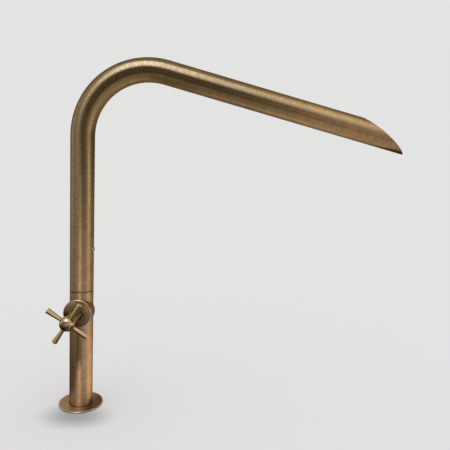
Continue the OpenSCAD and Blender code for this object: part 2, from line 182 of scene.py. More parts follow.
# Painted reflection of the handle, a brown streak on the column below the valve: the X of its
# middle, its width, its front, and its ends
HANDLE_REFLECTION_MIDDLE = 1.4 * MM
HANDLE_REFLECTION_WIDTH = (0.5 * MM, 6.0 * MM, 0.85, 0.0)
HANDLE_REFLECTION_FRONT = (-12 * MM, -8 * MM, 1.0, 0.0)
HANDLE_REFLECTION_LOW = (45 * MM, 66 * MM)
HANDLE_REFLECTION_HIGH = (VALVE_HEIGHT, VALVE_HEIGHT + 14 * MM, 1.0, 0.0)
# Painted shadow on the flange, towards the right and near its top face, and painted shade round its edge
FLANGE_SHADOW_RIGHT = (4 * MM, 19 * MM, 0.0, 0.72)
FLANGE_SHADOW_TOP = (FLANGE_TOP + 0.2 * MM, FLANGE_TOP + 0.8 * MM, 1.0, 0.0)
FLANGE_RIM_SHADE = (FLANGE_TOP - 1.1 * MM, FLANGE_TOP - 0.7 * MM, 0.85, 0.0)
# Shade in the corner at the column's foot, at the joint, and on the floor
FOOT_SHADE = (0.3 * MM, 1.3 * MM, 0.45, 1.0)
JOINT_SHADE = (0.4 * MM, 1.0 * MM, 0.35, 1.0)
FLOOR_SHADE = (0.1, 1.0, 0.55, 1.0)
# Painted shade on the valve's collar and cap, outwards from the neck and upwards
NECK_PAINTED_SHADE = (7.5 * MM, 14 * MM, 0.75, 0.1)
LOW_PAINTED_SHADE = (-12 * MM, 11 * MM, 0.75, 0.0)
# Painted shade on the handle, from undersides to tops
HANDLE_UNDER_SHADE = (-0.4, 0.4, 0.9, 0.0)

# Height of the scratches
SCRATCH_HEIGHT = 0.02 * MM
# Tint of the metal where it is seen edge on
DULL_EDGE = (0.40, 0.39, 0.39)
SMOOTH_EDGE = (0.55, 0.50, 0.44)


# Settings

def millimetres(name, description, default, low, high):
    """A length, with its numbers in millimetres."""
    return FloatProperty(
        name=name, description=description, default=default * MM, min=low * MM, max=high * MM,
        unit="LENGTH", precision=5)


def degrees(name, description, default, low, high):
    """An angle, with its numbers in degrees."""
    return FloatProperty(
        name=name, description=description, default=math.radians(default),
        min=math.radians(low), max=math.radians(high), unit="ROTATION")


def colour_property(name, description, default):
    return FloatVectorProperty(
        name=name, description=description, default=default, min=0, max=1, size=3, subtype="COLOR")


def watts(name, description, default):
    return FloatProperty(
        name=name, description=description, default=default, min=0, max=200, unit="POWER")


class TapSizes(PropertyGroup):
    """Sizes of the outer pieces that the frame's boxes don't give."""

    rim_soft: millimetres("Rim softening", "Width of the softened edge on thin rims", 0.3, 0.05, 1)
    lip_soft: millimetres("Lip softening", "Width of the softened edges of the spout's mouth", 0.6, 0.05, 1)
    gasket_groove: millimetres("Gasket groove", "Width of the groove under the flange", 4, 2, 5)
    spigot_radius: millimetres("Flange hole", "Radius of the hole in the flange", 11.4, 10, 13)
    cap_round: millimetres("Cap rounding", "Radius of the rounding on the cap's rim", 1.2, 0.4, 2)
    cap_cone: millimetres("Cap cone", "Rise of the cap's shallow conical face", 3, 0.5, 5)
    cap_wall: millimetres("Cap wall", "Thickness of the cap's face", 1.3, 0.6, 2)
    cap_hole: millimetres("Cap hole", "Radius of the hole that the neck turns in", 8.1, 7.7, 9)
    neck_radius: millimetres("Neck root", "Radius of the handle's neck where it enters the cap", 7.6, 6, 8)
    waist_radius: millimetres("Neck waist", "Radius of the handle's neck at its waist", 6.4, 5, 7)
    waist_back: millimetres("Waist distance", "Distance of the waist behind the ball's centre", 15, 11, 20)
    arm_root: millimetres("Arm root", "Radius of an arm where it leaves the ball", 2.15, 1.5, 3)
    arm_length: millimetres("Arm length", "Length of an arm from the valve axis", 26.8, 20, 40)
    arm_turn: degrees("Arm angle", "Angle of the first arm above the horizontal", 32.8, 0, 89)
    bend_radius: millimetres("Bend radius", "Radius of the spout's bend at the tube's middle", 78.5, 50, 110)
    bend_turn: degrees("Bend angle", "Angle through which the spout bends", 103.4, 86, 120)
    bend_height: millimetres("Bend height", "Height at which the bend starts", 332, 200, 500)
    spout_run: millimetres("Spout run", "Run from the bend to the mouth's lower lip", 290.2, 150, 400)
    mouth_angle: degrees("Mouth angle", "Angle between the cut of the mouth and the tube", 25.4, 20, 90)
    mouth_bulge: millimetres("Mouth bulge", "How far the cut bulges from a straight line", 2.4, 0.5, 4)


class TapColours(PropertyGroup):
    """Colours of the finishes, as linear values."""

    # Olive higher up, copper near the foot and warm brass at the mouth are partly tone and partly painted
    # reflection of the floor and surroundings
    olive_tone_and_shade: colour_property("Olive brass", "Dark patina, partly painted shade, of the upper tube", (0.16, 0.105, 0.043))
    brass_gold: colour_property("Gold brass", "Brushed brass between the patina", (0.26, 0.17, 0.08))
    copper_tone_and_reflection: colour_property("Copper brass", "Copper tone, partly painted floor reflection, towards the foot", (0.405, 0.245, 0.13))
    warm_tone_and_reflection: colour_property(
        "Warm brass", "Lighter brass towards the spout's mouth", (0.335, 0.205, 0.094))
    # Lighter brass on rubbed rims: partly wear, partly painted highlight
    brass_worn_and_highlight: colour_property("Worn brass", "Bare brass on rubbed rims, partly painted highlight", (0.64, 0.50, 0.30))
    brass_handle: colour_property("Handle brass", "Smoother brass of the cross handle", (0.47, 0.32, 0.165))
    # Painted shade: the dark brown that the painted shadows, shade and dark reflections blend to
    painted_shade: colour_property(
        "Painted shade", "Dark brown of the painted shade and painted dark reflections", (0.05, 0.03, 0.013))
    brass_raw: colour_property("Raw brass", "Machined brass inside the body", (0.60, 0.43, 0.18))
    copper: colour_property("Copper", "Riser pipe inside the column", (0.56, 0.25, 0.14))
    steel: colour_property("Steel", "Screw and circlip inside the handle", (0.42, 0.42, 0.41))
    ceramic: colour_property("Ceramic", "The two sealing discs", (0.82, 0.80, 0.74))
    plastic: colour_property("Plastic", "Thrust washer and slide ring", (0.72, 0.71, 0.67))
    rubber: colour_property("Rubber", "Gasket and O-rings", (0.018, 0.018, 0.019))
    backdrop: colour_property("Backdrop", "Pale floor and background", (0.775, 0.77, 0.768))
    card: colour_property("Card", "Dark cards that the metal mirrors", (0.085, 0.052, 0.018))


class TapStage(PropertyGroup):
    """Camera and light of the studio."""

    camera_place: FloatVectorProperty(
        name="Camera place", description="Where the camera stands",
        default=(0.17081, -0.5621, 0.30797), size=3, subtype="TRANSLATION", unit="LENGTH", precision=5)
    camera_yaw: degrees("Camera yaw", "Turn of the camera to the left of +Y", -0.072, -180, 180)
    camera_pitch: degrees("Camera pitch", "Angle by which the camera looks down", 7.436, -180, 180)
    camera_roll: degrees("Camera roll", "Turn of the camera about its own view", 2.662, -180, 180)
    camera_lens: FloatProperty(
        name="Lens", description="Focal length in millimetres, on a sensor 36 mm wide",
        default=37.774, min=10, max=200)
    key_power: watts("Key light", "Power of the low narrow beam in front", 0.21)
    top_power: watts("Top light", "Power of the soft light overhead", 11.0)
    far_power: watts("Far light", "Power of the weaker light over the spout's mouth", 1.15)
    side_power: watts("Side light", "Power of the narrow light on the left", 0.9)
    right_power: watts("Right light", "Power of the low soft light on the right", 2.6)


class TapSettings(PropertyGroup):
    """Everything that the tap and its studio are built from."""

    sizes: PointerProperty(type=TapSizes)
    colours: PointerProperty(type=TapColours)
    stage: PointerProperty(type=TapStage)


# Mesh helpers

def turn_outline(outline, closed=True):
    """Spins an outline of (radius, height) points round the local Z axis into a new bmesh."""
    bm = bmesh.new()
    bm.loops.layers.float.new(WORN_HIGHLIGHT_NAME)
    verts = [bm.verts.new((radius, 0, height)) for radius, height in outline]
    edges = [bm.edges.new(pair) for pair in zip(verts, verts[1:])]
    if closed:
        edges.append(bm.edges.new((verts[-1], verts[0])))
    bmesh.ops.spin(
        bm, geom=verts + edges, cent=(0, 0, 0), axis=(0, 0, 1), dvec=(0, 0, 0),
        angle=2 * math.pi, steps=ROUND_STEPS, use_merge=True, use_duplicate=False)
    bmesh.ops.remove_doubles(bm, verts=bm.verts, dist=WELD)
    bmesh.ops.recalc_face_normals(bm, faces=bm.faces)
    return bm


def arc_points(centre, radius, start, end, steps):
    """Points of an arc in the outline's plane, with angles measured from the radius."""
    angles = [start + (end - start) * step / steps for step in range(steps + 1)]
    return [(centre[0] + radius * math.cos(angle), centre[1] + radius * math.sin(angle))
            for angle in angles]


def bevel_rims(bm, rims, width):
    """Rounds edges and returns the faces of the rounding."""
    made = bmesh.ops.bevel(
        bm, geom=rims, offset=width, offset_type="OFFSET", segments=RIM_STEPS, profile=0.5,
        affect="EDGES", material=-1, clamp_overlap=True)
    return made["faces"]


def mark_worn_and_highlight(bm, faces, amount):
    """Marks faces of a turned piece as worn, where 1 is bare brass: a lighter mark that is partly wear and
    partly painted highlight.
    """
    mark = bm.loops.layers.float[WORN_HIGHLIGHT_NAME]
    for face in faces:
        for loop in face.loops:
            loop[mark] = amount


def soften_rims(bm, corners, width, worn=1):
    """Rounds the circular edges at the given (radius, height) corners and marks them as worn, partly wear and
    partly painted highlight.
    """

    def on_corner(vert):
        reach = math.hypot(vert.co.x, vert.co.y)
        return any(abs(reach - radius) < CORNER_REACH and abs(vert.co.z - height) < CORNER_REACH
                   for radius, height in corners)

    rims = [edge for edge in bm.edges if all(on_corner(vert) for vert in edge.verts)]
    mark_worn_and_highlight(bm, bevel_rims(bm, rims, width), worn)


def lay_rings(bm, place):
    """Unwraps a mesh by a function that gives a point's length along the brushing and its turn."""
    layer = bm.loops.layers.uv.new(UV_NAME)
    for face in bm.faces:
        middle_turn = place(face.calc_center_median())[1]
        for loop in face.loops:
            along, turn = place(loop.vert.co)
            turn += round(middle_turn - turn)
            loop[layer].uv = (along, turn)


def ring_place(point):
    """Place of a point on a turned piece: its distance along the profile, and its turn."""
    along = point.z + RING_REACH * math.hypot(point.x, point.y)
    return along, math.atan2(point.y, point.x) / (2 * math.pi)


def add_object(name, data):
    """Puts an object with this data in the scene."""
    added = bpy.data.objects.new(name, data)
    bpy.context.scene.collection.objects.link(added)
    return added


def mesh_object(bm, name, finish):
    """Turns a bmesh into an object of one material."""
    mesh = bpy.data.meshes.new(name)
    bm.to_mesh(mesh)
    bm.free()
    mesh.materials.append(finish)
    return add_object(name, mesh)


def make_piece(bm, node, finish_name, body, unwrap=ring_place, place=None):
    """Turns a bmesh into a piece that rides on a body and stands for a node of the frame."""
    lay_rings(bm, unwrap)
    if place:
        bmesh.ops.transform(bm, matrix=place, verts=bm.verts)
    for face in bm.faces:
        face.smooth = True
    for edge in bm.edges:
        edge.smooth = edge.calc_face_angle(0) < SHARP_ANGLE
    piece = mesh_object(bm, f"{node}_dressed", finish_of(finish_name))
    shading = piece.modifiers.new("Flat faces", "WEIGHTED_NORMAL")
    shading.keep_sharp = True
    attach(piece, body)
    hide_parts(node)


# Node helpers

def feed(target, value):
    """Links a socket to an input, or sets a plain value on it."""
    if isinstance(value, bpy.types.NodeSocket):
        target.id_data.links.new(value, target)
    else:
        target.default_value = value


def feed_all(node, **values):
    """Feeds a node's inputs by name, with an underscore for each space in the name."""
    for key, value in values.items():
        feed(node.inputs[key.replace("_", " ")], value)


def add_node(tree, kind, *inputs, **values):
    """Adds a node, sets its attributes or inputs by name, and feeds its first inputs in order."""
    node = tree.nodes.new(kind)
    for key, value in values.items():
        if hasattr(node, key):
            setattr(node, key, value)
        else:
            feed(node.inputs[key], value)
    for target, value in zip(node.inputs, inputs):
        feed(target, value)
    return node


def result(tree, kind, *inputs, **values):
    """Adds a node and returns its first output."""
    return add_node(tree, kind, *inputs, **values).outputs[0]


def math_node(operation, first, *others):
    return result(first.id_data, "ShaderNodeMath", first, *others, operation=operation)


def chain(operation, first, *others):
    """Joins values one after another by an operation such as MULTIPLY or MAXIMUM."""
    for value in others:
        first = math_node(operation, first, value)
    return first


def linear(value, factor, offset):
    """A value times a factor, plus an offset."""
    return math_node("MULTIPLY_ADD", value, factor, offset)


def distance(value, centre=0.0):
    """How far a value is from another, on either side."""
    return math_node("ABSOLUTE", math_node("SUBTRACT", value, centre))


def ramp_value(value, low, high, out_low=0.0, out_high=1.0):
    """Maps a value smoothly from one range to another."""
    node = add_node(value.id_data, "ShaderNodeMapRange", interpolation_type="SMOOTHSTEP")
    feed_all(node, Value=value, From_Min=low, From_Max=high, To_Min=out_low, To_Max=out_high)
    return node.outputs["Result"]


def axes(vector):
    """The X, Y and Z of a vector."""
    return add_node(vector.id_data, "ShaderNodeSeparateXYZ", vector).outputs


def joined(x, y, z=0.0):
    """A vector of three values."""
    return result(x.id_data, "ShaderNodeCombineXYZ", x, y, z)


def length_of(vector):
    node = add_node(vector.id_data, "ShaderNodeVectorMath", vector, operation="LENGTH")
    return node.outputs["Value"]


def rgba(colour):
    return (*colour, 1.0)


def mix_colours(factor, first, second):
    """Blends two colours, each a socket or a plain colour."""
    node = add_node(factor.id_data, "ShaderNodeMix", data_type="RGBA", Factor=factor)
    targets = [socket for socket in node.inputs if socket.type == "RGBA"]
    for target, colour in zip(targets, (first, second)):
        feed(target, colour if isinstance(colour, bpy.types.NodeSocket) else rgba(colour))
    return next(socket for socket in node.outputs if socket.type == "RGBA")


def scaled(colour, factor):
    """A colour made darker or lighter by a factor."""
    return result(factor.id_data, "ShaderNodeVectorMath", colour, operation="SCALE", Scale=factor)


def noise(place, scale, detail, roughness):
    return result(place.id_data, "ShaderNodeTexNoise", Vector=place, Scale=scale, Detail=detail,
                  Roughness=roughness)


def bump_of(height, strength, rise):
    return result(height.id_data, "ShaderNodeBump", Height=height, Strength=strength, Distance=rise)


def new_material(name):
    """Makes an empty node material and returns it, its tree and its surface shader."""
    material = bpy.data.materials.new(name)
    material.use_nodes = True
    tree = material.node_tree
    tree.nodes.clear()
    shader = tree.nodes.new("ShaderNodeBsdfPrincipled")
    add_node(tree, "ShaderNodeOutputMaterial", shader.outputs["BSDF"])
    return material, tree, shader


# Effects that several finishes share

def brushing(given):
    """Fine scratches that run round a piece: fine lines, broad bands and their height."""
    place, turns, _ = axes(given["Place"])
    turn = math_node("MULTIPLY", turns, 2 * math.pi)
    across = math_node("COSINE", turn)
    aside = math_node("SINE", turn)

    def scratches(density, spread, detail):
        along = math_node("MULTIPLY", place, density)
        point = joined(along, math_node("MULTIPLY", across, spread), math_node("MULTIPLY", aside, spread))
        return noise(point, 1.0, detail, 0.6)

    lines = scratches(given["Lines"], 2.6, 4.0)
    bands = scratches(given["Bands"], 1.1, 2.0)
    return {"Lines": lines, "Bands": bands, "Height": linear(bands, 0.4, lines)}


def patina(given):
    """Patchy darkening of old brass: soft clouds and small specks."""
    clouds = noise(given["Place"], given["Cloud Scale"], 4.0, 0.55)
    specks = noise(given["Place"], given["Speck Scale"], 2.0, 0.6)
    return {"Clouds": ramp_value(clouds, 0.34, 0.68), "Specks": ramp_value(specks, 0.58, 0.74)}


def rubbed_and_highlighted_rims(given):
    """Where a piece is marked as worn, broken up by fine noise: partly wear, partly painted highlight."""
    breakup = ramp_value(noise(given["Place"], 160.0, 3.0, 0.6), 0.25, 0.6, 0.45, 1.0)
    return {"Mask": math_node("MULTIPLY", given["Worn"], breakup)}


# What makes each group, and the values that it reads beside a place
GROUPS = {
    "Ring brushing": (brushing, {"Lines": 900.0, "Bands": 120.0}),
    "Patina": (patina, {"Cloud Scale": 26.0, "Speck Scale": 420.0}),
    "Rubbed rims": (rubbed_and_highlighted_rims, {"Worn": 0.0}),
}


def new_group(name):
    """Builds a node group with named inputs and outputs."""
    maker, values = GROUPS[name]
    tree = bpy.data.node_groups.new(name, "ShaderNodeTree")
    tree.interface.new_socket(name="Place", in_out="INPUT", socket_type="NodeSocketVector")
    for title, default in values.items():
        socket = tree.interface.new_socket(name=title, in_out="INPUT", socket_type="NodeSocketFloat")
        socket.default_value = default
    results = maker(tree.nodes.new("NodeGroupInput").outputs)
    for title in results:
        tree.interface.new_socket(name=title, in_out="OUTPUT", socket_type="NodeSocketFloat")
    feed_all(tree.nodes.new("NodeGroupOutput"), **results)
    return tree


def place_group(tree, name, **values):
    """Places a shared group, building it the first time, and returns its outputs."""
    node = tree.nodes.new("ShaderNodeGroup")
    node.node_tree = bpy.data.node_groups.get(name) or new_group(name)
    feed_all(node, **values)
    return node.outputs


# Stains on the tube and the flange

def painted_underside_shade(along, turn):
    """Painted shade on the spout's underside, widest at the mouth's lowest point."""
    edge = ramp_value(along, *UNDERSIDE_SHADE_EDGE)
    inner = ramp_value(along, *UNDERSIDE_SHADE_INNER)
    under = ramp_value(distance(turn), edge, inner)
    return chain("MULTIPLY", under, ramp_value(along, *UNDERSIDE_SHADE_STRENGTH))


def painted_side_reflection(along, turn):
    """Painted dark reflection along the spout's sides, strongest on the bend and fading to the mouth."""
    middle = ramp_value(along, *SIDE_MIDDLE)
    band = ramp_value(distance(distance(turn), middle), *SIDE_WIDTH)
    begun = ramp_value(along, *SIDE_BEGUN)
    fading = ramp_value(along, *SIDE_FADING)
    return chain("MULTIPLY", band, begun, fading)


def painted_handle_reflection(x, y, z):
    """A brown streak on the column below the valve, a painted reflection of the handle."""
    across = ramp_value(distance(x, HANDLE_REFLECTION_MIDDLE), *HANDLE_REFLECTION_WIDTH)
    front = ramp_value(y, *HANDLE_REFLECTION_FRONT)
    low = ramp_value(z, *HANDLE_REFLECTION_LOW)
    high = ramp_value(z, *HANDLE_REFLECTION_HIGH)
    return chain("MULTIPLY", across, front, low, high)


def painted_flange_shadow(x, z):
    """Painted shadow on the right of the flange's top, and painted shade round its edge."""
    right = ramp_value(x, *FLANGE_SHADOW_RIGHT)
    top = ramp_value(z, *FLANGE_SHADOW_TOP)
    edge = ramp_value(z, *FLANGE_RIM_SHADE)
    return chain("MAXIMUM", chain("MULTIPLY", right, top), edge)


def foot_shade(x, y, z):
    """Darkens the corner where the column stands on the flange."""
    out = math_node("SUBTRACT", length_of(joined(x, y)), TUBE_RADIUS)
    up = math_node("SUBTRACT", z, FLANGE_TOP)
    return ramp_value(length_of(joined(out, up)), *FOOT_SHADE)


# Finishes

class Brass:
    """A brass in the making: its nodes, the coordinates that it reads, its patina, and its rubbed rims, which
    are partly wear and partly painted highlight.
    """

    def __init__(self, name, colours, cloud_scale):
        self.colours = colours
        self.material, self.tree, self.shader = new_material(name)
        self.coordinates = add_node(self.tree, "ShaderNodeTexCoord").outputs
        self.where = self.coordinates["Object"]
        worn = add_node(self.tree, "ShaderNodeAttribute", attribute_name=WORN_HIGHLIGHT_NAME).outputs["Fac"]
        self.clouds, self.specks = place_group(self.tree, "Patina", Place=self.where, Cloud_Scale=cloud_scale)
        self.rubbed = place_group(self.tree, "Rubbed rims", Place=self.where, Worn=worn)["Mask"]

    def own_rings(self):
        """The piece's own UV map, which follows its rings."""
        return result(self.tree, "ShaderNodeUVMap", uv_map=UV_NAME)

    def brush(self, rings, lines, bands):
        """Lays scratches along rings and returns their lines, bands and height."""
        return place_group(self.tree, "Ring brushing", Place=rings, Lines=lines, Bands=bands)

    def finish(self, tone, shade, rough, height, edge_tint, bump, stretch=0.0):
        """Lightens the rubbed rims, partly wear and partly painted highlight, and feeds the shader, whose
        highlights may stretch across rings.
        """
        feed_all(
            self.shader, Roughness=rough, Metallic=1.0, Specular_Tint=rgba(edge_tint),
            Base_Color=mix_colours(self.rubbed, scaled(tone, shade), self.colours.brass_worn_and_highlight),
            Normal=bump_of(height, bump, SCRATCH_HEIGHT))
        if stretch:
            tangent = result(self.tree, "ShaderNodeTangent", direction_type="UV_MAP", uv_map=UV_NAME)
            feed_all(self.shader, Tangent=tangent, Anisotropic=stretch)
        return self.material


def brushed_brass(name, colours, roughness, shine):
    """Aged brass with scratches round the piece, soft patina, painted shade, painted dark
    reflections, and rubbed rims that are partly wear and partly painted highlight.

    The tone is copper near the foot and gold higher up, and warms again towards the
    mouth, partly tone and partly painted reflection. It is darker where the spout meets
    the column and in the corner at the foot.
    """
    brass = Brass(name, colours, cloud_scale=26.0)
    rings = brass.own_rings()
    along, turn, _ = axes(rings)
    lines, bands, height = brass.brush(rings, lines=480.0, bands=96.0)
    x, y, z = axes(brass.where)

    # Copper near the foot, olive higher up and warmer towards the mouth: partly tone, partly painted
    # reflection
    cool = ramp_value(z, *COPPER_AND_REFLECTION_FADE)
    tone = mix_colours(cool, colours.copper_tone_and_reflection, colours.brass_gold)
    dark = chain("MULTIPLY", linear(brass.clouds, 0.14, 0.34), cool)
    tone = mix_colours(dark, tone, colours.olive_tone_and_shade)
    tone = mix_colours(ramp_value(x, *WARM_AND_REFLECTION_REACH), tone, colours.warm_tone_and_reflection)
    # Painted shade and painted dark reflections: underside, sides, the handle's reflection and the flange's
    # shadow
    painted_darkening = chain(
        "MAXIMUM", painted_underside_shade(along, turn), painted_side_reflection(along, turn),
        painted_handle_reflection(x, y, z), painted_flange_shadow(x, z))
    tone = mix_colours(painted_darkening, tone, colours.painted_shade)

    shade = chain(
        "MULTIPLY",
        ramp_value(lines, 0.32, 0.68, 0.87 * shine, 1.11 * shine),
        ramp_value(bands, 0.3, 0.7, 0.96, 1.04),
        linear(brass.specks, -0.06, 1.0),
        ramp_value(distance(z, JOINT_HEIGHT), *JOINT_SHADE),
        foot_shade(x, y, z))
    rough = ramp_value(lines, 0.3, 0.7, roughness + 0.03, roughness - 0.03)
    rough = linear(brass.clouds, 0.04, rough)
    rough = linear(brass.rubbed, -0.06, rough)
    return brass.finish(tone, shade, rough, height, DULL_EDGE, bump=0.03, stretch=0.75)


def handle_brass(name, colours, shine):
    """Smoother cast brass: turned lines, undersides darkened by painted shade, and bright rubbed rims that
    are partly wear and partly painted highlight.
    """
    brass = Brass(name, colours, cloud_scale=70.0)
    lines, _, height = brass.brush(brass.own_rings(), lines=1400.0, bands=260.0)
    dark = linear(brass.clouds, 0.25, 0.08)
    tone = mix_colours(dark, colours.brass_handle, colours.olive_tone_and_shade)
    facing = axes(brass.coordinates["Normal"])
    # Painted shade: undersides turn dark brown, tops keep their tone
    under = ramp_value(facing["Z"], *HANDLE_UNDER_SHADE)
    tone = mix_colours(under, tone, colours.painted_shade)
    shade = ramp_value(lines, 0.3, 0.7, 0.9 * shine, 1.08 * shine)
    rough = linear(brass.clouds, 0.06, 0.29)
    return brass.finish(tone, shade, rough, height, SMOOTH_EDGE, bump=0.05, stretch=0.35)


def valve_brass(name, colours):
    """Aged brass turned round the valve axis, with painted shade below and round the neck.

    Its rings come from the place in the scene, because the collar has no UV map.
    """
    brass = Brass(name, colours, cloud_scale=60.0)
    x, y, z = axes(brass.where)
    up = math_node("SUBTRACT", z, VALVE_HEIGHT)
    reach = length_of(joined(x, up))
    along = linear(reach, RING_REACH, math_node("MULTIPLY", y, -1.0))
    turn = math_node("DIVIDE", math_node("ARCTAN2", up, x), 2 * math.pi)
    lines, _, height = brass.brush(joined(along, turn), lines=900.0, bands=180.0)
    dark = linear(brass.clouds, 0.3, 0.25)
    tone = mix_colours(dark, colours.copper_tone_and_reflection, colours.olive_tone_and_shade)
    # Painted shade round the neck, and below and to the left of the valve axis
    tone = mix_colours(ramp_value(reach, *NECK_PAINTED_SHADE), tone, colours.painted_shade)
    lean = linear(x, 0.5, up)
    tone = mix_colours(ramp_value(lean, *LOW_PAINTED_SHADE), tone, colours.painted_shade)
    shade = ramp_value(lines, 0.32, 0.68, 0.72, 0.98)
    rough = linear(brass.clouds, 0.06, 0.27)
    return brass.finish(tone, shade, rough, height, DULL_EDGE, bump=0.08)


def plain_finish(name, colour, metallic, roughness, mottle=0.12, scale=260.0, rise=0.01 * MM):
    """Finish of an inner piece: one tone with fine mottling in colour, gloss and height."""
    material, tree, shader = new_material(name)
    where = add_node(tree, "ShaderNodeTexCoord").outputs["Object"]
    clouds, specks = place_group(tree, "Patina", Place=where, Cloud_Scale=scale, Speck_Scale=scale * 6)
    shade = linear(specks, -mottle, linear(clouds, -mottle, 1.0))
    feed_all(
        shader, Base_Color=scaled(tuple(colour), shade), Metallic=metallic,
        Roughness=linear(clouds, 0.12, roughness), Normal=bump_of(specks, 0.3, rise))
    return material


# Finishes of the outer pieces: what builds each, and the values that it takes
FINISHES = {
    "column_brass": (brushed_brass, 0.33, 1.0),
    "flange_brass": (brushed_brass, 0.34, 1.04),
    "valve_brass": (valve_brass,),
    "handle_brass": (handle_brass, 1.0),
    "index_brass": (handle_brass, 0.42),
}
# Finishes of what stays as the frame made it, by slot: the material's name, its colour, and
# the other values that plain_finish takes
SLOT_FINISHES = {
    "brushed_brass": ("aged_brass_plain", "brass_gold", 1.0, 0.34, 0.2, 60.0),
    "polished_brass": ("polished_brass_plain", "brass_handle", 1.0, 0.24, 0.2, 120.0),
    "raw_brass": ("machined_brass", "brass_raw", 1.0, 0.3),
    "copper": ("copper_pipe", "copper", 1.0, 0.32, 0.25),
    "steel": ("bright_steel", "steel", 1.0, 0.3),
    "white_ceramic": ("white_ceramic", "ceramic", 0.0, 0.2, 0.05, 400.0),
    "white_plastic": ("white_plastic", "plastic", 0.0, 0.45, 0.06, 300.0),
    "black_rubber": ("black_rubber", "rubber", 0.0, 0.6, 0.3, 500.0, 0.04 * MM),
}


def finish_of(name):
    """Builds a finish by name the first time that a piece asks for it."""
    if name in bpy.data.materials:
        return bpy.data.materials[name]
    builder, *values = FINISHES[name]
    return builder(name, bpy.context.scene.garden_tap.colours, *values)


# Operators

class TapOperator:
    """Shared parts of the operators that build the tap."""

    bl_options = {"REGISTER", "UNDO"}


class GARDENTAP_OT_build_stage(TapOperator, Operator):
    """Make the pale floor and background, the soft lights and the camera"""

    bl_idname = "garden_tap.build_stage"
    bl_label = "Studio"

    def execute(self, context):
        settings = context.scene.garden_tap
        self.make_camera(context, settings.stage)
        self.make_floor(settings.colours)
        self.make_world(context, settings.colours)
        self.make_lights(settings.stage)
        self.make_cards(settings.colours)
        context.scene.view_settings.view_transform = "Standard"
        return {"FINISHED"}

    def make_camera(self, context, stage):
        data = bpy.data.cameras.new("camera")
        data.sensor_width = 36
        data.lens = stage.camera_lens
        data.clip_start = 0.01
        data.clip_end = 100
        camera = add_object("camera", data)
        turn = (Matrix.Rotation(stage.camera_yaw, 4, "Z")
                @ Matrix.Rotation(QUARTER - stage.camera_pitch, 4, "X")
                @ Matrix.Rotation(stage.camera_roll, 4, "Z"))
        camera.matrix_world = Matrix.Translation(stage.camera_place) @ turn
        context.scene.camera = camera

    def make_floor(self, colours):
        """A wide pale floor with a soft shade in front of the foot."""
        material, tree, shader = new_material("pale_floor")
        where = add_node(tree, "ShaderNodeTexCoord").outputs["Object"]
        offset = result(tree, "ShaderNodeVectorMath", where, SHADE_CENTRE, operation="SUBTRACT")
        spread = result(tree, "ShaderNodeVectorMath", offset, SHADE_REACH, operation="DIVIDE")
        shade = ramp_value(length_of(spread), *FLOOR_SHADE)
        floor_colour = [channel / FILL_LEVEL for channel in colours.backdrop]
        feed_all(shader, Base_Color=scaled(floor_colour, shade), Roughness=0.9, Specular_IOR_Level=0.0)
        bm = bmesh.new()
        bmesh.ops.create_circle(bm, cap_ends=True, segments=64, radius=FLOOR_RADIUS)
        floor = mesh_object(bm, "floor", material)

    def make_world(self, context, colours):
        """Plain pale to the camera and in reflections, and an even soft light on everything."""
        world = bpy.data.worlds.new("studio")
        context.scene.world = world
        world.use_nodes = True
        tree = world.node_tree
        tree.nodes.clear()
        pale = result(tree, "ShaderNodeBackground", Color=rgba(colours.backdrop), Strength=1.0)
        fill = result(tree, "ShaderNodeBackground", Color=(1.0, 1.0, 1.0, 1.0), Strength=FILL_LEVEL)
        path = add_node(tree, "ShaderNodeLightPath").outputs
        seen = chain("MAXIMUM", path["Is Camera Ray"], path["Is Glossy Ray"], path["Is Transmission Ray"])
        blend = result(tree, "ShaderNodeMixShader", seen, fill, pale)
        add_node(tree, "ShaderNodeOutputWorld", blend)

    def make_lights(self, stage):
        """Soft lamps that the metal mirrors; the floor is lit by the world alone."""
        for name, place, size, target, colour, spread in LAMPS:
            data = bpy.data.lights.new(f"{name}_light", "AREA")
            data.shape = "RECTANGLE"
            data.size, data.size_y = size
            data.energy = getattr(stage, f"{name}_power")
            data.color = colour
            data.spread = math.radians(spread)
            light = add_object(data.name, data)
            aim = (Vector(target) - Vector(place)).to_track_quat("-Z", "Y").to_matrix().to_4x4()
            light.matrix_world = Matrix.Translation(place) @ aim
            light.visible_camera = False
            light.visible_diffuse = False

    def card_material(self, name, colour, level):
        material, _, shader = new_material(name)
        feed_all(shader, Base_Color=(0.0, 0.0, 0.0, 1.0), Specular_IOR_Level=0.0,
                 Emission_Color=rgba(colour), Emission_Strength=level)
        return material

    def make_cards(self, colours):
        """Cards that only reflections see, as a photographer sets them round shiny metal."""
        dark = self.card_material("dark_card", colours.card, 1.0)
        light = self.card_material("light_card", LIGHT_CARD, LIGHT_CARD_LEVEL)
        for name, low, high, is_dark in CARDS:
            size = Vector(high) - Vector(low)
            bm = bmesh.new()
            bmesh.ops.create_grid(bm, x_segments=1, y_segments=1, size=0.5)
            if size.z:
                upright = "Y" if size.y else "X"
                bmesh.ops.rotate(bm, verts=bm.verts, matrix=Matrix.Rotation(QUARTER, 3, upright))
            bmesh.ops.scale(bm, verts=bm.verts, vec=size)
            bmesh.ops.translate(bm, verts=bm.verts, vec=Vector(low) + size / 2)
            card = mesh_object(bm, name, dark if is_dark else light)
            for ray in ("camera", "diffuse", "transmission", "volume_scatter", "shadow"):
                setattr(card, f"visible_{ray}", False)


